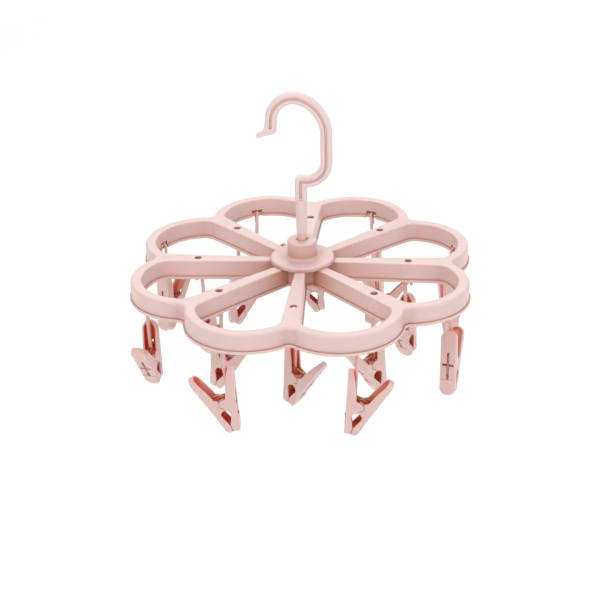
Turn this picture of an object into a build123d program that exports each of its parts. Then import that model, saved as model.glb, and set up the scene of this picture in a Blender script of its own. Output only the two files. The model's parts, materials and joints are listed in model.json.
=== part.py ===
from build123d import *
import math
import os

# Clip drying hanger: a swivelling hook, a frame of eight petals and eight spokes, and sixteen
# spring clips that hang from moulded bars. Millimetres. Each piece is worked out with the top
# plane of the frame at z = 0 and the swivel on the Z axis, then moved so that the centre of the
# hook's rail seat is the origin. +Z is up and the rail runs along Y.

# ---- driving dimensions ----

PETALS = 8
STEP_DEG = 360 / PETALS

# frame
LOBE_CENTRE_R = 81.7
LOBE_WALL_R = 42.3
LOBE_OPENING_R = 34.6
FRAME_HEIGHT = 14.0
TOP_PLATE = 2.0
WALL = 1.6
BEAD_HEIGHT = 2.0
BEAD_OUTER = 0.95
BEAD_INNER = 0.8
NOTCH_FILLET_R = 6.0
OPENING_CORNER_R = 9.5
TOP_ROUND_R = 1.8
OPENING_ROUND_R = 0.9
SPOKE_HALF_AT_HUB = 2.96
SPOKE_TAPER = 0.0368

# hub
HUB_R = 17.0
DISC_R = 22.6
DISC_HEIGHT = 3.0
DISC_ROUND_R = 1.4
BOSS_R = 10.5
BOSS_TOP = 16.0
BOSS_ROUND_R = 1.6
BOSS_ROOT_R = 2.2
SLEEVE_R = 5.4
SLEEVE_BOTTOM = -2.0
SWIVEL_BORE_R = 3.28
BORE_LEAD_IN = 1.0

# moulded bars that carry the clips
BAR_R = 0.9
RIM_BAR_RADIUS = 117.1
RIM_BAR_Z = -12.9
SPOKE_BAR_RADIUS = 75.0
SPOKE_BAR_Z = -11.1
SPOKE_HOLE_R = 2.65
WINDOW_WIDTH = 8.2
WINDOW_TOP = -8.5
WINDOW_INSET = 0.4

# hook
ARM_HALF = 4.15
ARM_THICKNESS = 5.5
GROOVE_HALF = 1.0
GROOVE_DEPTH = 1.0
ARM_ROUND_R = 1.7
LIP_ROUND_R = 0.8
POST_R = 3.85
POST_BOTTOM = 20.0
POST_TOP = 46.0
POST_CHAMFER = 0.6
NECK_R = 3.2
FOOT_CLEARANCE = 0.15
FOOT_BAND = 2.0
FOOT_CONE = 4.0
FOOT_PROUD = 1.2
FOOT_SLOT = (1.4, 12.0)
RUN_Z = 59.9
BEND_R = 14.0
RIGHT_ARC_R = 26.45
LEFT_ARC_R = 15.5
LEFT_ARC_START_DEG = 66.0
LEFT_ARC_END_DEG = 175.5
LEG_RUN = 10.4
ARM_STRAIGHT_TOP = 94.8
LIP_HALF = 3.65
LIP_EDGE = [(-29.3, 91.7), (-30.0, 93.9)]
LIP_HEEL = (-25.0, 96.6)
LIP_BEND_R = 3.0

# clip, drawn at its nominal size and then moulded at CLIP_SCALE of it
CLIP_SCALE = 0.95
JAW_HALF_ANGLE = 15.5
LEG_LENGTH = 51.0
LEG_WIDTH = 11.6
LEG_TIP_R = 5.5
LEG_PLATE = 1.4
LEG_WALL = 1.3
WALL_CURVE = ((3.6, 51.0), (5.7, 40.0), (6.8, 29.0))
WALL_SHOULDER = (8.5, 27.6)
FACE_ROUND_R = 0.7
TIP_CHAMFER = 0.8
PAD_TOP = 12.6
PAD_INSET = 0.5
PAD_PROUD = 0.4
PAD_ROUND_R = 0.3
TIP_DEPTH = 3.47
JAW_GAP = 0.1
JAW_TOP = 7.1
JAW_TOP_W = 6.6
TOOTH_HEIGHTS = (1.5, 3.5, 5.5)
TOOTH_SIZE = 0.7
EYE_CENTRE = 15.7
EYE_R = 3.7
PIVOT = (9.99, 23.5)
PIN_R = 1.5
PIN_BORE_R = 1.55
EAR_R = 2.4
EAR_CLEAR_R = 2.75
KNUCKLE_R = 2.6
KNUCKLE_X = (2.2, 4.2)
STEM_R = 1.4
STEM_TO_FACE = 5.6
STEM_FOOT = 24.8
STEM_TAPER_DROP = 6.5
STEM_TAPER = 3.0
SHELF_S = 25.6
SHELF_DEPTH = 6.4
SHELF_THICKNESS = 1.3
HOOK_WIRE_R = 1.1
HOOK_CENTRES = 5.5
HOOK_LENGTH = 11.0
CLIP_DROP = 69.3
CLIP_TILT = 3.6
SLOT_HALF = 0.85
SLOT_SPAN = (12.9, 34.6)
CROSS_SLOT = (8.5, 1.9)
CROSS_SLOT_S = 24.5
SPRING_R = 0.575
SPRING_LEG = [(1.7, 14.3), (-0.5, 14.1), (0.45, 17.5), (0.45, 34.6)]
SPRING_BENDS = [0.7, 2.0, 1.2, 1.5]
BRIDGE_W = 29.5
BRIDGE_HALF = 8.5
BRIDGE_HOLE_R = 0.9
BRIDGE_HOLE_T = -5.97

# (side on which the jaws open, twist of the clip on its bar in degrees), anticlockwise from +X
RIM_CLIPS = [(1, -10), (1, 12), (-1, -8), (-1, -7), (1, -34), (-1, 22), (1, -20), (1, 10)]
SPOKE_CLIPS = [(-1, -30), (-1, 30), (1, 6), (-1, -25), (1, -34), (1, 25), (1, -33), (-1, -5)]

SPOKE_DEG = [k * STEP_DEG for k in range(PETALS)]
PETAL_DEG = [(k + 0.5) * STEP_DEG for k in range(PETALS)]
TAN_HALF = math.tan(math.radians(JAW_HALF_ANGLE))
ON_FLOOR = (Align.CENTER, Align.CENTER, Align.MIN)

RIGHT_ARC_X = ARM_HALF + BEND_R - RIGHT_ARC_R
LEFT_SHIFT = RIGHT_ARC_R - LEFT_ARC_R
LEFT_ARC_X = RIGHT_ARC_X + LEFT_SHIFT * math.cos(math.radians(LEFT_ARC_START_DEG))
LEFT_ARC_Z = ARM_STRAIGHT_TOP + LEFT_SHIFT * math.sin(math.radians(LEFT_ARC_START_DEG))
TO_SEAT = Location((-LEFT_ARC_X, 0, -LEFT_ARC_Z))


def plate(face, bottom, top):
    """A flat face in the XY plane, extruded from height bottom to height top."""
    return Pos(0, 0, bottom) * extrude(face, top - bottom)


def polygon(points):
    """A flat face bounded by straight lines through the points."""
    return make_face(Polyline(*points, close=True))


# ---- frame ----

def outline_face(inset):
    """The eight-lobed outline, moved into the material by inset."""
    face = Circle(LOBE_CENTRE_R)
    for angle in PETAL_DEG:
        face += Rot(0, 0, angle) * Pos(LOBE_CENTRE_R, 0) * Circle(LOBE_WALL_R - inset)
    notches = face.vertices().sort_by_distance((0, 0, 0))[:PETALS]
    return fillet(notches, NOTCH_FILLET_R + inset)


def spoke_edge(radius, outset):
    """A point on the edge of the spoke beside a petal, in the petal's own axes."""
    half = SPOKE_HALF_AT_HUB + SPOKE_TAPER * radius - outset
    turn = math.radians(STEP_DEG / 2)
    x = radius * math.cos(turn) + half * math.sin(turn)
    y = radius * math.sin(turn) - half * math.cos(turn)
    return x, y


def opening_face(outset):
    """One teardrop opening between two spokes, grown by outset into the walls around it."""
    inner = spoke_edge(HUB_R / 2, outset)
    middle = spoke_edge(LOBE_CENTRE_R, outset)
    outer = spoke_edge(LOBE_CENTRE_R + 2 * LOBE_OPENING_R, outset)
    tip = polygon([middle, outer, (outer[0], -outer[1]), (middle[0], -middle[1])])
    face = (Pos(LOBE_CENTRE_R, 0) * Circle(LOBE_OPENING_R + outset)) & tip
    face += polygon([inner, middle, (middle[0], -middle[1]), (inner[0], -inner[1])])
    face -= Circle(HUB_R - outset)
    corners = [v for v in face.vertices() if v.X > LOBE_CENTRE_R and abs(v.Y) > HUB_R]
    return fillet(corners, OPENING_CORNER_R + outset)


def all_petals(face):
    """Copies of a face at the middle of every petal."""
    return [Rot(0, 0, angle) * face for angle in PETAL_DEG]


def frame_shell():
    """The channel: top plate, outer wall, opening walls and hub wall, open below."""
    bead_top = BEAD_HEIGHT - FRAME_HEIGHT
    shell = plate(outline_face(0), -FRAME_HEIGHT, 0)
    shell = fillet(shell.faces().sort_by(Axis.Z)[-1].edges(), TOP_ROUND_R)
    shell += plate(outline_face(-BEAD_OUTER), -FRAME_HEIGHT, bead_top)
    shell -= [plate(f, bead_top, 1) for f in all_petals(opening_face(0))]
    shell -= [plate(f, -FRAME_HEIGHT - 1, bead_top) for f in all_petals(opening_face(-BEAD_INNER))]
    rims = shell.edges().filter_by_position(Axis.Z, -0.01, 0.01)
    shell = fillet(rims, OPENING_ROUND_R)
    channel = outline_face(WALL) - all_petals(opening_face(WALL)) - Circle(HUB_R)
    shell -= plate(channel, -FRAME_HEIGHT - 1, -TOP_PLATE)
    return shell


def hub():
    """Disc and boss on top of the frame, blended at the boss's root."""
    body = Cylinder(DISC_R, DISC_HEIGHT, align=ON_FLOOR)
    body = fillet(body.edges().sort_by(Axis.Z)[-1], DISC_ROUND_R)
    boss = Cylinder(BOSS_R, BOSS_TOP, align=ON_FLOOR)
    boss = fillet(boss.edges().sort_by(Axis.Z)[-1], BOSS_ROUND_R)
    body += boss
    rings = body.edges().filter_by(GeomType.CIRCLE)
    rings = rings.filter_by_position(Axis.Z, DISC_HEIGHT - 0.01, DISC_HEIGHT + 0.01)
    root = rings.sort_by(SortBy.RADIUS)[0]
    return fillet(root, BOSS_ROOT_R)


def bar(radius, height, length, angle):
    """A moulded cross bar, tangential at the given radius."""
    rod = Rot(90, 0, 0) * Cylinder(BAR_R, length)
    return Rot(0, 0, angle) * Pos(radius, 0, height) * rod


def frame():
    """The whole moulding: shell and hub, cored from below, bored for the neck, with its bars."""
    body = frame_shell() + hub()
    body -= plate(Circle(HUB_R - WALL) - Circle(SLEEVE_R), -FRAME_HEIGHT - 1, 0)
    body -= plate(Circle(BOSS_R - TOP_PLATE) - Circle(SLEEVE_R), -1, BOSS_TOP - TOP_PLATE)
    body -= plate(Circle(SLEEVE_R + 1), -FRAME_HEIGHT - 1, SLEEVE_BOTTOM)
    body -= plate(Circle(SWIVEL_BORE_R), -FRAME_HEIGHT, BOSS_TOP + 1)
    lead_in = Cone(SWIVEL_BORE_R, SWIVEL_BORE_R + BORE_LEAD_IN, BORE_LEAD_IN)
    body -= Pos(0, 0, BOSS_TOP - BORE_LEAD_IN / 2) * lead_in
    window_height = WINDOW_TOP + FRAME_HEIGHT + 1
    window = Box(2 * WALL + 1.4, WINDOW_WIDTH, window_height)
    window_r = LOBE_CENTRE_R + LOBE_OPENING_R + WALL / 2 - WINDOW_INSET
    for angle in PETAL_DEG:
        body -= Rot(0, 0, angle) * Pos(window_r, 0, WINDOW_TOP - window_height / 2) * window
        body += bar(RIM_BAR_RADIUS, RIM_BAR_Z, WINDOW_WIDTH + 2, angle)
    hole = Cylinder(SPOKE_HOLE_R, TOP_PLATE + 1)
    channel_half = SPOKE_HALF_AT_HUB + SPOKE_TAPER * SPOKE_BAR_RADIUS - WALL
    for angle in SPOKE_DEG:
        body -= Rot(0, 0, angle) * Pos(SPOKE_BAR_RADIUS, 0, -TOP_PLATE / 2) * hole
        body += bar(SPOKE_BAR_RADIUS, SPOKE_BAR_Z, 2 * channel_half + WALL, angle)
    return body


# ---- hook ----

def box_face(left, right, bottom, top):
    """An upright rectangle between two sides and two heights."""
    return polygon([(left, bottom), (right, bottom), (right, top), (left, top)])


def arc_band(centre, radius, half, start, end):
    """A band of an annulus, half wide on each side of its radius, in the hook's XZ plane."""
    outer = CenterArc(centre, radius + half, start, end - start)
    inner = CenterArc(centre, radius - half, start, end - start)
    return make_face([outer, inner, Line(outer @ 0, inner @ 0), Line(outer @ 1, inner @ 1)])


def arm_face(half, post_foot):
    """The arm's outline for one half width: post, bend, straight and the two arcs of the arch."""
    post = box_face(-half, half, post_foot, RUN_Z + half)
    top_left = post.vertices().sort_by(Axis.Y)[-2:].sort_by(Axis.X)[0]
    post = fillet(top_left, half)
    run = box_face(0, ARM_HALF, RUN_Z - half, RUN_Z + half)
    bend = arc_band((ARM_HALF, RUN_Z + BEND_R), BEND_R, half, -90, 0)
    x_right = ARM_HALF + BEND_R
    straight = box_face(x_right - half, x_right + half, RUN_Z + BEND_R, ARM_STRAIGHT_TOP)
    start, end = LEFT_ARC_START_DEG, LEFT_ARC_END_DEG
    right = arc_band((RIGHT_ARC_X, ARM_STRAIGHT_TOP), RIGHT_ARC_R, half, 0, start)
    left = arc_band((LEFT_ARC_X, LEFT_ARC_Z), LEFT_ARC_R, half, start, end)
    return post + run + bend + straight + right + left


def arm_leg(half, length):
    """The straight leg after the arch, square to the end of the left arc."""
    turn = math.radians(LEFT_ARC_END_DEG)
    inner, outer = [
        (LEFT_ARC_X + r * math.cos(turn), LEFT_ARC_Z + r * math.sin(turn))
        for r in (LEFT_ARC_R - half, LEFT_ARC_R + half)]
    run_x = -length * math.sin(turn)
    run_z = length * math.cos(turn)
    inner_foot = (inner[0] + run_x, inner[1] + run_z)
    outer_foot = (outer[0] + run_x, outer[1] + run_z)
    return [outer, inner, inner_foot, outer_foot]


def rounded_slab(outline, radius):
    """The outline at the arm's thickness, with its long edges rounded."""
    slab = extrude(Plane.XZ * outline, ARM_THICKNESS / 2, both=True)
    long_edges = slab.faces().filter_by(Axis.Y).edges()
    return fillet(long_edges, radius)


def lip():
    """The thin lip that leans out under the open end of the arm."""
    face = polygon(arm_leg(LIP_HALF, LEG_RUN)[:3] + LIP_EDGE + [LIP_HEEL])
    heel = face.vertices().sort_by_distance(LIP_HEEL)[0]
    return rounded_slab(fillet(heel, LIP_BEND_R), LIP_ROUND_R)


def hook():
    """The grooved arm and its lip, the round post, and the neck with its split snap foot."""
    outline = arm_face(ARM_HALF, POST_TOP - 2) + polygon(arm_leg(ARM_HALF, LEG_RUN - 1))
    arm = rounded_slab(outline, ARM_ROUND_R) + lip()
    groove = arm_face(GROOVE_HALF, POST_TOP + 1.5) + polygon(arm_leg(GROOVE_HALF, LEG_RUN - 3))
    for side in (-1, 1):
        floor = side * (ARM_THICKNESS / 2 - GROOVE_DEPTH / 2)
        arm -= Pos(0, floor, 0) * extrude(Plane.XZ * groove, GROOVE_DEPTH / 2 + 0.01, both=True)
    post = plate(Circle(POST_R), POST_BOTTOM, POST_TOP)
    post = chamfer(post.edges().sort_by(Axis.Z)[0], POST_CHAMFER)
    foot_top = SLEEVE_BOTTOM - FOOT_CLEARANCE
    neck = plate(Circle(NECK_R), foot_top, POST_BOTTOM + 1)
    foot = plate(Circle(NECK_R + FOOT_PROUD), foot_top - FOOT_BAND, foot_top)
    cone = Cone(NECK_R - POST_CHAMFER, NECK_R + FOOT_PROUD, FOOT_CONE)
    foot += Pos(0, 0, foot_top - FOOT_BAND - FOOT_CONE / 2) * cone
    split = Box(FOOT_SLOT[0], 2 * BOSS_R, FOOT_SLOT[1])
    return arm + post + neck + foot - Pos(0, 0, foot_top - 1) * split


# ---- clips ----

def bisector(s):
    """Depth of the plane between the two jaws, at distance s along a leg."""
    return TIP_DEPTH + TAN_HALF * s


def teardrop():
    """The eye between the jaws, in a leg's side view: round at the top, pointed at the bottom."""
    point_to_centre = EYE_CENTRE - JAW_TOP_W
    half_angle = math.asin(EYE_R / point_to_centre)
    touch = (EYE_R * math.cos(half_angle), EYE_CENTRE - EYE_R * math.sin(half_angle))
    eye = Pos(0, EYE_CENTRE) * Circle(EYE_R)
    eye += polygon([(0, JAW_TOP_W), touch, (-touch[0], touch[1])])
    return Pos(TIP_DEPTH, 0) * Rot(0, 0, -JAW_HALF_ANGLE) * eye


def leg_profile(fulcrum):
    """Side view of a leg: depth from the outer face, distance from the tip."""
    wall_end, wall_middle, wall_foot = WALL_CURVE
    curve = ThreePointArc(wall_end, wall_middle, wall_foot)
    back = Polyline(wall_foot, (0, wall_foot[1]), (0, LEG_LENGTH), wall_end)
    handle = make_face([curve, back])
    tip = [(0, TIP_CHAMFER), (TIP_CHAMFER, 0), (bisector(0) - JAW_GAP, 0)]
    jaw = polygon(tip + fulcrum + [wall_foot, (0, wall_foot[1])])
    return handle + jaw - teardrop()


def hook_jaw_profile():
    """The hanging jaw: its walls carry an ear around the pin."""
    ear_top = (PIVOT[0] + EAR_R * 0.5, PIVOT[1] + EAR_R * math.sqrt(0.75))
    flank_s = ear_top[1] + (ear_top[0] - WALL_CURVE[2][0]) * math.tan(math.radians(30))
    below = (bisector(21.3) - JAW_GAP, 21.3)
    profile = leg_profile([below, PIVOT, ear_top, (WALL_CURVE[2][0], flank_s)])
    return profile + Pos(*PIVOT) * Circle(EAR_R)


def press_jaw_profile():
    """The turning jaw: its walls are cut back so that they turn about the ears."""
    profile = leg_profile([(bisector(PIVOT[1]) - JAW_GAP, PIVOT[1]), WALL_SHOULDER])
    return profile - Pos(*PIVOT) * Circle(EAR_CLEAR_R)


def leg_plan(inset):
    """Front view of a leg: a long plate with a domed top and a rounded tip."""
    half = LEG_WIDTH / 2 - inset
    top = LEG_LENGTH - inset
    straight_top = LEG_LENGTH - LEG_WIDTH / 2
    face = box_face(-half, half, LEG_TIP_R, straight_top)
    face += Pos(0, straight_top) * Circle(top - straight_top)
    face += Pos(0, LEG_TIP_R) * Ellipse(half, LEG_TIP_R - inset)
    return face


def leg(profile):
    """A channel-shaped leg. X is across, Y is depth from the outer face, Z runs up from the tip."""
    side = extrude(Plane.YZ * profile, LEG_WIDTH, both=True)
    front = Plane.XZ.offset(-2 * LEG_WIDTH)
    body = side & extrude(front * leg_plan(0), 2 * LEG_WIDTH)
    face_edges = body.faces().filter_by(Axis.Y).sort_by(Axis.Y)[0].edges()
    body = fillet(face_edges, FACE_ROUND_R)
    cavity = extrude(front * leg_plan(LEG_WALL), 2 * LEG_WIDTH - LEG_PLATE)
    jaw_block = Box(2 * LEG_WIDTH, 4 * LEG_WIDTH, JAW_TOP + LEG_WIDTH)
    body -= cavity - Pos(0, 0, (JAW_TOP - LEG_WIDTH) / 2) * jaw_block
    pad = leg_plan(PAD_INSET) & box_face(-LEG_WIDTH, LEG_WIDTH, 0, PAD_TOP)
    pad = Pos(0, -PAD_PROUD, 0) * extrude(Plane.XZ * pad, -PAD_PROUD - PAD_ROUND_R)
    body += fillet(pad.faces().sort_by(Axis.Y)[0].edges(), PAD_ROUND_R)
    slots = box_face(-SLOT_HALF, SLOT_HALF, *SLOT_SPAN)
    slots += Pos(0, CROSS_SLOT_S) * Rectangle(*CROSS_SLOT)
    body -= extrude(Plane.XZ * slots, LEG_PLATE + 0.1, both=True)
    tooth = Rot(45, 0, 0) * Box(LEG_WIDTH, TOOTH_SIZE, TOOTH_SIZE)
    for s in TOOTH_HEIGHTS:
        body -= Pos(0, bisector(s) - JAW_GAP, s) * tooth
    return body


def stem():
    """The moulded stem in the leg's own axes: a rib-backed rod that ends in a J over the bar."""
    taper_bottom = CLIP_DROP - STEM_TAPER_DROP
    rod = plate(Circle(STEM_R), STEM_FOOT, taper_bottom)
    rod += Pos(0, 0, taper_bottom) * Cone(STEM_R, HOOK_WIRE_R, STEM_TAPER, align=ON_FLOOR)
    rod = Pos(0, STEM_TO_FACE, 0) * rod
    reach = HOOK_CENTRES
    end_z = CLIP_DROP + reach / 2 + HOOK_WIRE_R - HOOK_LENGTH
    rise = Line((0, taper_bottom + STEM_TAPER - 0.5), (0, CLIP_DROP))
    bow = ThreePointArc((0, CLIP_DROP), (reach / 2, CLIP_DROP + reach / 2), (reach, CLIP_DROP))
    fall = Line((reach, CLIP_DROP), (reach, end_z))
    path = Plane.XZ.offset(-STEM_TO_FACE) * (rise + bow + fall)
    section = Plane(path @ 0, z_dir=path % 0) * Circle(HOOK_WIRE_R)
    rod += sweep(section, path=path)
    rod += Pos(reach, STEM_TO_FACE, end_z) * Sphere(HOOK_WIRE_R)
    rib_face = box_face(LEG_PLATE - 0.1, STEM_TO_FACE, SLOT_SPAN[1] + 0.3, LEG_LENGTH - 0.8)
    rib = extrude(Plane.YZ * rib_face, LEG_PLATE / 2, both=True)
    shelf_face = box_face(LEG_PLATE - 0.1, SHELF_DEPTH, SHELF_S - SHELF_THICKNESS / 2,
                          SHELF_S + SHELF_THICKNESS / 2)
    shelf = extrude(Plane.YZ * shelf_face, (LEG_WIDTH - LEG_WALL) / 2, both=True)
    return rod + rib + shelf


def hook_jaw():
    """The hanging jaw in its own leg axes, with its pin, stem and the hole for the spring."""
    body = leg(hook_jaw_profile())
    body += Pos(0, *PIVOT) * Rot(0, 90, 0) * Cylinder(PIN_R, LEG_WIDTH)
    body += stem()
    wire_hole = Rot(90, 0, 0) * Cylinder(BRIDGE_HOLE_R, 4 * STEM_R)
    return body - from_bisector_to_leg(Pos(0, BRIDGE_HOLE_T, BRIDGE_W) * wire_hole)


def press_jaw():
    """The turning jaw in its own leg axes, with two bored knuckles on the pin."""
    body = leg(press_jaw_profile())
    web = box_face(LEG_PLATE - 0.1, PIVOT[0], PIVOT[1] - KNUCKLE_R, PIVOT[1] + KNUCKLE_R)
    web += Pos(*PIVOT) * Circle(KNUCKLE_R)
    web -= Pos(*PIVOT) * Circle(PIN_BORE_R)
    inner, outer = KNUCKLE_X
    knuckle = extrude(Plane.YZ * web, (outer - inner) / 2, both=True)
    for side in (-1, 1):
        body += Pos(side * (inner + outer) / 2, 0, 0) * knuckle
    return body


def to_bisector(shape):
    """From a leg's own axes to the axes of the plane between the jaws, tip at the origin."""
    return Rot(JAW_HALF_ANGLE, 0, 0) * Pos(0, -TIP_DEPTH, 0) * shape


def from_bisector_to_leg(shape):
    """The way back, from the plane between the jaws to the leg's own axes."""
    return Pos(0, TIP_DEPTH, 0) * Rot(-JAW_HALF_ANGLE, 0, 0) * shape


def from_bisector(shape):
    """From the plane between the jaws to the hanging clip, bar centre at the origin."""
    tip = Pos(-HOOK_CENTRES / 2, TIP_DEPTH - STEM_TO_FACE, -CLIP_DROP)
    hanging = Rot(-CLIP_TILT, 0, 0) * tip * Rot(-JAW_HALF_ANGLE, 0, 0) * shape
    moulded = scale(hanging, by=CLIP_SCALE)
    return Pos(*(hanging.location.position * (CLIP_SCALE - 1))) * moulded


def spring():
    """One wire, mirrored about the plane between the jaws."""
    turn = math.radians(JAW_HALF_ANGLE)
    half = []
    for depth, s in SPRING_LEG:
        across = (depth - TIP_DEPTH) * math.cos(turn) - s * math.sin(turn)
        along = (depth - TIP_DEPTH) * math.sin(turn) + s * math.cos(turn)
        half.append((across, along))
    half.append((-BRIDGE_HALF, BRIDGE_W))
    points = half + [(-x, z) for x, z in reversed(half)]
    path = Plane.YZ * FilletPolyline(*points, radius=SPRING_BENDS + SPRING_BENDS[::-1])
    section = Plane(path @ 0, z_dir=path % 0) * Circle(SPRING_R)
    return sweep(section, path=path)


def clip_pieces():
    """The three pieces of a clip, hanging, with the bar's centre at the origin."""
    return {
        "hook_jaw": from_bisector(to_bisector(hook_jaw())),
        "press_jaw": from_bisector(mirror(to_bisector(press_jaw()), about=Plane.XZ)),
        "spring": from_bisector(spring()),
    }


def write(shape, name):
    """One piece, moved to the rail seat and saved under its own name."""
    shape = TO_SEAT * shape
    solids = shape.solids()
    body = solids[0] if len(solids) == 1 else Compound(solids)
    body.label = name
    export_step(body, f"parts/{name}.step")


def write_clips(prefix, clips, angles, radius, height, pieces):
    """A ring of clips, one on each bar at the given radius and height."""
    for number, ((side, twist), angle) in enumerate(zip(clips, angles), start=1):
        bar_x = radius * math.cos(math.radians(angle))
        bar_y = radius * math.sin(math.radians(angle))
        place = Pos(bar_x, bar_y, height) * Rot(0, 0, angle + twist)
        for name, shape in pieces[side].items():
            write(place * shape, f"{prefix}_clip_{number}_{name}")


def main():
    os.makedirs("parts", exist_ok=True)
    write(hook(), "hook")
    write(frame(), "frame")
    right = clip_pieces()
    left = {name: mirror(shape, about=Plane.XZ) for name, shape in right.items()}
    pieces = {1: right, -1: left}
    write_clips("rim", RIM_CLIPS, PETAL_DEG, RIM_BAR_RADIUS, RIM_BAR_Z, pieces)
    write_clips("spoke", SPOKE_CLIPS, SPOKE_DEG, SPOKE_BAR_RADIUS, SPOKE_BAR_Z, pieces)


main()
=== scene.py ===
import json
import math

import bmesh
import bpy
from mathutils import Matrix, Vector


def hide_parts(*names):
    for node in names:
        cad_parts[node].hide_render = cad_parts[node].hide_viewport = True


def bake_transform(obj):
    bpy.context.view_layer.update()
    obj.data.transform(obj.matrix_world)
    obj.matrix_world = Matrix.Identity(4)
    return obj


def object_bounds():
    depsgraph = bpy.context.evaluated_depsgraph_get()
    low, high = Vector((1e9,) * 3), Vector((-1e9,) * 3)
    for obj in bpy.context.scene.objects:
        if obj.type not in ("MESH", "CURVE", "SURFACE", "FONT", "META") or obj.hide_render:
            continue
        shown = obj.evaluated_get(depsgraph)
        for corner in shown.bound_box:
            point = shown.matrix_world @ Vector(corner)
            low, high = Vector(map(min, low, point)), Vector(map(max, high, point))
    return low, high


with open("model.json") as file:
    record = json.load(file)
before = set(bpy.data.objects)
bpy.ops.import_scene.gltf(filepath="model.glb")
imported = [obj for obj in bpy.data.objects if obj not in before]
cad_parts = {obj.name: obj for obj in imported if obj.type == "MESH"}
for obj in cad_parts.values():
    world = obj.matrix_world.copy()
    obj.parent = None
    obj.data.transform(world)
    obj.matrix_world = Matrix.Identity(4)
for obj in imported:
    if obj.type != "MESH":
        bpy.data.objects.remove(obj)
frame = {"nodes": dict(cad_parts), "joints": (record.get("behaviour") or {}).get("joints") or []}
CAD_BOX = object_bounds()

# Clip drying hanger in pale pink moulded plastic, with bright wire springs. Metres.
# The origin is the centre of the hook's rail seat; +Z is up and +Y runs along the rail.

MM = 0.001
NODES = frame["nodes"]
JOINTS = {j["name"]: j for j in frame["joints"]}

SWIVEL = Vector(JOINTS["swivel"]["pos_m"])
BOSS_TOP_ABOVE_PLATE = 16 * MM
HUB_TOP = SWIVEL - Vector((0, 0, BOSS_TOP_ABOVE_PLATE))

# camera: where it stands, seen from the middle of the hub, and how far it is turned and shifted
CAM_AZIMUTH = math.radians(5.345)
CAM_ELEVATION = math.radians(26.39)
CAM_ROLL = math.radians(-1.388)
CAM_LENS = 93.18
CAM_DISTANCE = 1118.9 * MM
CAM_SIDE = -2.481 * MM
CAM_DROP = 32.407 * MM
SENSOR = 36.0
FAR_CLIP = 20

# studio: lights by place from the hub, width and height, and power
LIGHTS = (
    ("key", (-0.7, -0.9, 1.1), (0.9, 0.9), 8.6),
    ("fill", (1.0, -0.7, 0.5), (1.0, 1.0), 5.0),
    ("top", (0.1, 0.5, 1.3), (1.2, 1.2), 5.2))
BACKDROP_AT = (0, 2.8, 0)
BACKDROP_LIGHT_UP = 1.8
BACKDROP_LIGHT_SIZE = (3.0, 1.6)
BACKDROP_LIGHT_POWER = 28
WORLD_STRENGTH = 0.62
WHITE = (1, 1, 1, 1)

FLOOR_DROP = 0.16
FLOOR_HALF_WIDTH = 6.0
FLOOR_FRONT = -4.0
FLOOR_BACK = 3.0
FLOOR_BEND_R = 1.0
FLOOR_TOP = 5.0
FLOOR_BEND_STEPS = 12

# noise values run from about 0.3 to 0.7, which is spread over the range that a material needs
NOISE_LOW = 0.3
NOISE_HIGH = 0.7

# materials
FLOOR_GREY = (0.94, 0.94, 0.94, 1)
FLOOR_PALE = (0.97, 0.97, 0.97, 1)
FLOOR_ROUGHNESS = 0.9
CLOUD_TONE = 0.965
# painted shade: samples of the occlusion mask that darkens recesses, and the openness where it
# stops
PAINTED_SHADE_SAMPLES = 8
OPEN_AT = 0.95
POLISH_LESS = 0.05
POLISH_MORE = 0.06
STAIN_FROM = 0.35
WIRE_BRIGHT = (0.42, 0.36, 0.29, 1)
WIRE_STAINED = (0.22, 0.15, 0.10, 1)
WIRE_ROUGHNESS = (0.18, 0.34)

# moulded pieces
FRAME_BEVEL = 0.25 * MM
HOOK_BEVEL = 0.25 * MM
JAW_BEVEL = 0.18 * MM
WELD_DISTANCE = 0.000002
FLAT_ANGLE = math.radians(1.0)
EDGE_ANGLE = math.radians(32)

# a clip seen from its side: T runs across the jaws and W up between them, from the tip, in
# millimetres of its nominal size
CLIP_MM = 0.95 * MM
JAW_HALF_ANGLE = math.radians(15.5)
CLIP_TILT = math.radians(3.6)
TIP_DEPTH = 3.47
PIVOT_W = 24.39
WIRE_R = 0.575 * CLIP_MM
WIRE_LEG = ((1.7, 14.3), (-0.5, 14.1), (0.45, 17.5), (0.45, 34.6))
WIRE_BRIDGE = (-8.5, 29.5)
WIRE_BENDS = (0.7, 2.0, 1.2, 1.5)
WIRE_SIDES = 12
WIRE_BEND_STEPS = 6


# ---------------------------------------------------------------- camera, light, floor

def make_camera():
    back = Vector((
        math.sin(CAM_AZIMUTH) * math.cos(CAM_ELEVATION),
        -math.cos(CAM_AZIMUTH) * math.cos(CAM_ELEVATION),
        math.sin(CAM_ELEVATION)))
    right = (-back).cross(Vector((0, 0, 1))).normalized()
    target = HUB_TOP + right * CAM_SIDE - Vector((0, 0, CAM_DROP))
    data = bpy.data.cameras.new("camera")
    data.lens = CAM_LENS
    data.sensor_width = SENSOR
    data.clip_end = FAR_CLIP
    camera = bpy.data.objects.new("camera", data)
    bpy.context.scene.collection.objects.link(camera)
    up = right.cross(-back)
    turn = Matrix.Rotation(CAM_ROLL, 3, back)
    axes = Matrix((turn @ right, turn @ up, back)).transposed()
    camera.matrix_world = Matrix.Translation(target + back * CAM_DISTANCE) @ axes.to_4x4()
    bpy.context.scene.camera = camera


def area_light(name, place, aim, size, power):
    data = bpy.data.lights.new(name, "AREA")
    data.shape = "RECTANGLE"
    data.size, data.size_y = size
    data.energy = power
    light = bpy.data.objects.new(name, data)
    bpy.context.scene.collection.objects.link(light)
    light.location = place
    light.rotation_mode = "QUATERNION"
    light.rotation_quaternion = (Vector(aim) - Vector(place)).to_track_quat("-Z", "Y")


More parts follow.
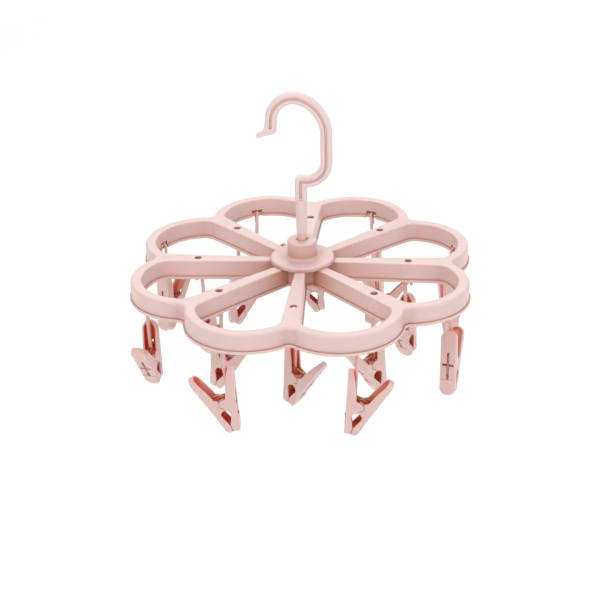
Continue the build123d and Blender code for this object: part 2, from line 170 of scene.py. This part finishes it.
def make_lights():
    for name, offset, size, power in LIGHTS:
        area_light(name, HUB_TOP + Vector(offset), HUB_TOP, size, power)
    behind = HUB_TOP + Vector(BACKDROP_AT)
    above = behind + Vector((0, 0, BACKDROP_LIGHT_UP))
    area_light("backdrop", above, behind, BACKDROP_LIGHT_SIZE, BACKDROP_LIGHT_POWER)
    world = bpy.data.worlds.new("studio")
    world.use_nodes = True
    background = world.node_tree.nodes["Background"]
    background.inputs["Color"].default_value = WHITE
    background.inputs["Strength"].default_value = WORLD_STRENGTH
    bpy.context.scene.world = world


def make_floor():
    """A pale floor that curves up into a backdrop behind the hanger."""
    low = CAD_BOX[0].z - FLOOR_DROP
    profile = [(FLOOR_FRONT, low), (FLOOR_BACK, low)]
    for k in range(1, FLOOR_BEND_STEPS + 1):
        a = math.radians(90 * k / FLOOR_BEND_STEPS)
        y = FLOOR_BACK + FLOOR_BEND_R * math.sin(a)
        profile.append((y, low + FLOOR_BEND_R * (1 - math.cos(a))))
    profile.append((FLOOR_BACK + FLOOR_BEND_R, FLOOR_TOP))
    bm = bmesh.new()
    sides = (-FLOOR_HALF_WIDTH, FLOOR_HALF_WIDTH)
    rows = [[bm.verts.new((x, y, z)) for x in sides] for y, z in profile]
    for a, b in zip(rows, rows[1:]):
        bm.faces.new((a[0], a[1], b[1], b[0]))
    mesh = bpy.data.meshes.new("floor")
    bm.to_mesh(mesh)
    bm.free()
    for p in mesh.polygons:
        p.use_smooth = True
    floor = bpy.data.objects.new("floor", mesh)
    bpy.context.scene.collection.objects.link(floor)
    mesh.materials.append(floor_material())


# ---------------------------------------------------------------- materials

def new_material(name):
    material = bpy.data.materials.new(name)
    material.use_nodes = True
    tree = material.node_tree
    return material, tree, tree.nodes["Principled BSDF"]


def add(tree, kind, **values):
    node = tree.nodes.new(kind)
    for key, value in values.items():
        setattr(node, key, value)
    return node


def noise(tree, coordinates, scale, detail=3.0, distortion=0.0):
    node = add(tree, "ShaderNodeTexNoise")
    node.inputs["Scale"].default_value = scale
    node.inputs["Detail"].default_value = detail
    node.inputs["Distortion"].default_value = distortion
    tree.links.new(coordinates, node.inputs["Vector"])
    return node.outputs["Fac"]


def spread(tree, value, to_low, to_high, low=NOISE_LOW, high=NOISE_HIGH):
    """The value, spread from low and high to another range."""
    node = add(tree, "ShaderNodeMapRange")
    node.inputs["From Min"].default_value = low
    node.inputs["From Max"].default_value = high
    node.inputs["To Min"].default_value = to_low
    node.inputs["To Max"].default_value = to_high
    tree.links.new(value, node.inputs["Value"])
    return node.outputs["Result"]


def bump(tree, height, strength, distance, under=None):
    """The normal that a height gives, on top of another one where it is given."""
    node = add(tree, "ShaderNodeBump")
    node.inputs["Strength"].default_value = strength
    node.inputs["Distance"].default_value = distance
    tree.links.new(height, node.inputs["Height"])
    if under is not None:
        tree.links.new(under, node.inputs["Normal"])
    return node.outputs["Normal"]


def mix_colour(tree, factor, a, b):
    """A mix of two colours, each a colour or a socket, by a factor that is a socket."""
    node = add(tree, "ShaderNodeMix", data_type="RGBA")
    first, second = [s for s in node.inputs if s.type == "RGBA"]
    tree.links.new(factor, node.inputs[0])
    for value, target in ((a, first), (b, second)):
        if hasattr(value, "node"):
            tree.links.new(value, target)
        else:
            target.default_value = value
    return [s for s in node.outputs if s.type == "RGBA"][0]


def floor_material():
    material, tree, shader = new_material("floor_white")
    place = add(tree, "ShaderNodeTexCoord").outputs["Object"]
    tone = spread(tree, noise(tree, place, scale=3.0), 0.0, 1.0)
    tree.links.new(mix_colour(tree, tone, FLOOR_GREY, FLOOR_PALE), shader.inputs["Base Color"])
    shader.inputs["Roughness"].default_value = FLOOR_ROUGHNESS
    return material


def pink_plastic(name, base, painted_shade, reach, closed_at, glow, roughness, grain):
    """Moulded plastic: cloudy flow marks, painted shade that darkens the recesses and a fine satin
    grain.

    reach is how far away a wall still makes a recess, and closed_at the openness at which the
    painted shade is deepest. glow is the weight, depth and colour of the light carried through thin
    walls.
    """
    material, tree, shader = new_material(name)
    place = add(tree, "ShaderNodeTexCoord").outputs["Object"]
    flow = spread(tree, noise(tree, place, scale=38.0, detail=4.0, distortion=0.8), 0.0, 1.0)
    cloudy = tuple(c * CLOUD_TONE for c in base[:3]) + (1,)
    cloud = mix_colour(tree, flow, base, cloudy)
    # painted shade: an occlusion mask mixes the darker colour into the recesses, where shade falls
    shade_occlusion = add(tree, "ShaderNodeAmbientOcclusion", samples=PAINTED_SHADE_SAMPLES)
    shade_occlusion.inputs["Distance"].default_value = reach
    painted_shade_mask = spread(tree, shade_occlusion.outputs["AO"], 1.0, 0.0, low=closed_at, high=OPEN_AT)
    colour = mix_colour(tree, painted_shade_mask, cloud, painted_shade)
    tree.links.new(colour, shader.inputs["Base Color"])
    patches = noise(tree, place, scale=160.0)
    polish = spread(tree, patches, roughness - POLISH_LESS, roughness + POLISH_MORE)
    tree.links.new(polish, shader.inputs["Roughness"])
    weight, scale, radius = glow
    shader.inputs["Subsurface Weight"].default_value = weight
    shader.inputs["Subsurface Radius"].default_value = radius
    shader.inputs["Subsurface Scale"].default_value = scale
    shader.inputs["Specular IOR Level"].default_value = 0.5
    satin = bump(tree, noise(tree, place, scale=grain, detail=2.0), 0.1, 0.04 * MM)
    sink = bump(tree, noise(tree, place, scale=55.0, detail=2.0), 0.12, 0.12 * MM, under=satin)
    tree.links.new(sink, shader.inputs["Normal"])
    return material


def spring_steel():
    """Bright drawn wire with a fine grain and a warm, slightly stained tone."""
    material, tree, shader = new_material("spring_steel")
    place = add(tree, "ShaderNodeTexCoord").outputs["Object"]
    stain = spread(tree, noise(tree, place, scale=220.0), 0.0, 1.0, low=STAIN_FROM)
    colour = mix_colour(tree, stain, WIRE_BRIGHT, WIRE_STAINED)
    tree.links.new(colour, shader.inputs["Base Color"])
    shader.inputs["Metallic"].default_value = 1.0
    polish = spread(tree, noise(tree, place, scale=900.0), *WIRE_ROUGHNESS)
    tree.links.new(polish, shader.inputs["Roughness"])
    drawn = bump(tree, noise(tree, place, scale=2500.0), 0.2, 0.03 * MM)
    tree.links.new(drawn, shader.inputs["Normal"])
    return material


# ---------------------------------------------------------------- moulded pieces

def dress(node, material, bevel):
    """A CAD piece with a real material, softly broken edges and shading that follows its curves."""
    obj = NODES[node]
    obj.data.materials.clear()
    obj.data.materials.append(material)
    for p in obj.data.polygons:
        p.use_smooth = True
    weld = obj.modifiers.new("weld", "WELD")
    weld.merge_threshold = WELD_DISTANCE
    flat = obj.modifiers.new("planar", "DECIMATE")
    flat.decimate_type = "DISSOLVE"
    flat.angle_limit = FLAT_ANGLE
    soft = obj.modifiers.new("edges", "BEVEL")
    soft.width = bevel
    soft.segments = 2
    soft.limit_method = "ANGLE"
    soft.angle_limit = EDGE_ANGLE
    soft.use_clamp_overlap = True
    soft.harden_normals = False
    shade = obj.modifiers.new("normals", "WEIGHTED_NORMAL")
    shade.keep_sharp = False
    shade.weight = 60


# ---------------------------------------------------------------- springs

def rounded_path(points, radii):
    """The points joined by straight runs, with each inner corner turned into an arc."""
    path = [points[0]]
    for before, corner, after, radius in zip(points, points[1:], points[2:], radii):
        back = (before - corner).normalized()
        ahead = (after - corner).normalized()
        half = back.angle(ahead) / 2
        cut = radius / math.tan(half)
        middle = corner + (back + ahead).normalized() * (radius / math.sin(half))
        first = corner + back * cut - middle
        last = corner + ahead * cut - middle
        sweep = first.angle(last)
        for k in range(WIRE_BEND_STEPS + 1):
            a = sweep * k / WIRE_BEND_STEPS
            arm = first * math.sin(sweep - a) + last * math.sin(a)
            path.append(middle + arm / math.sin(sweep))
    path.append(points[-1])
    return path


def wire_mesh(name, path, across, radius):
    """A round wire along a flat path; across is the direction square to the path's plane."""
    bm = bmesh.new()
    rings = []
    for k, point in enumerate(path):
        ahead = path[min(k + 1, len(path) - 1)] - path[max(k - 1, 0)]
        side = ahead.normalized().cross(across)
        rings.append([
            bm.verts.new(point + (across * math.cos(a) + side * math.sin(a)) * radius)
            for a in (2 * math.pi * n / WIRE_SIDES for n in range(WIRE_SIDES))])
    for a, b in zip(rings, rings[1:]):
        for n in range(WIRE_SIDES):
            m = (n + 1) % WIRE_SIDES
            bm.faces.new((a[n], a[m], b[m], b[n]))
    bm.faces.new(rings[0][::-1])
    bm.faces.new(rings[-1])
    bmesh.ops.recalc_face_normals(bm, faces=bm.faces)
    mesh = bpy.data.meshes.new(name)
    bm.to_mesh(mesh)
    bm.free()
    for p in mesh.polygons:
        p.use_smooth = len(p.vertices) == 4
    wire = bpy.data.objects.new(name, mesh)
    bpy.context.scene.collection.objects.link(wire)
    return wire


def leg_to_bisector(depth, height):
    """From a leg's own depth and height to T and W."""
    x = depth - TIP_DEPTH
    c, s = math.cos(JAW_HALF_ANGLE), math.sin(JAW_HALF_ANGLE)
    return x * c - height * s, x * s + height * c


def make_spring(clip, material):
    """The wire that holds a clip shut, bent to run from one jaw across to the other."""
    joint = JOINTS[f"{clip}_squeeze"]
    pivot = Vector(joint["pos_m"])
    axis = Vector(joint["axis"]).normalized()
    up = Vector((0, 0, 1))
    opening = up.cross(axis)
    lean = JAW_HALF_ANGLE + CLIP_TILT
    along = up * math.cos(lean) + opening * math.sin(lean)
    across = opening * math.cos(lean) - up * math.sin(lean)
    half = [leg_to_bisector(*p) for p in WIRE_LEG] + [WIRE_BRIDGE]
    whole = half + [(-t, w) for t, w in reversed(half)]
    points = [pivot + (across * t + along * (w - PIVOT_W)) * CLIP_MM for t, w in whole]
    radii = [r * CLIP_MM for r in WIRE_BENDS + WIRE_BENDS[::-1]]
    wire = wire_mesh(f"{clip}_wire", rounded_path(points, radii), axis, WIRE_R)
    wire.data.materials.append(material)
    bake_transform(wire)
    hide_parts(f"{clip}_spring")


make_camera()
make_lights()
make_floor()

# each moulding's tone on the outside, the painted shade mixed into its recesses, then the light
# carried through it
FRAME_BASE = (0.715, 0.535, 0.51, 1)
# painted shade: the darker colour mixed into the frame's recesses
FRAME_PAINTED_SHADE = (0.56, 0.29, 0.215, 1)
FRAME_GLOW = (0.35, 2.2 * MM, (1.0, 0.42, 0.32))
HOOK_BASE = (0.77, 0.60, 0.575, 1)
# painted shade: the darker colour mixed into the hook's groove and recesses
HOOK_PAINTED_SHADE = (0.64, 0.36, 0.29, 1)
HOOK_GLOW = (0.15, 2.0 * MM, (1.0, 0.45, 0.35))
CLIP_BASE = (0.70, 0.50, 0.465, 1)
# painted shade and painted glow: a bright red-orange mixed into the clips' recesses, standing in
# for shade and for light shining through the thin walls
CLIP_PAINTED_SHADE_AND_GLOW = (0.80, 0.17, 0.06, 1)
CLIP_GLOW = (0.6, 3.0 * MM, (1.0, 0.25, 0.12))
FRAME_PLASTIC = pink_plastic(
    "frame_plastic", FRAME_BASE, FRAME_PAINTED_SHADE, 45 * MM, 0.5, FRAME_GLOW, 0.35, 900.0)
HOOK_PLASTIC = pink_plastic(
    "hook_plastic", HOOK_BASE, HOOK_PAINTED_SHADE, 8 * MM, 0.0, HOOK_GLOW, 0.34, 900.0)
CLIP_PLASTIC = pink_plastic(
    "clip_plastic", CLIP_BASE, CLIP_PAINTED_SHADE_AND_GLOW, 8 * MM, 0.35, CLIP_GLOW, 0.335, 1100.0)
STEEL = spring_steel()

dress("hook", HOOK_PLASTIC, HOOK_BEVEL)
dress("frame", FRAME_PLASTIC, FRAME_BEVEL)
for name in sorted(NODES):
    if name.endswith("_jaw"):
        dress(name, CLIP_PLASTIC, JAW_BEVEL)
    if name.endswith("_spring"):
        make_spring(name.removesuffix("_spring"), STEEL)

bpy.context.scene.view_settings.view_transform = "Standard"
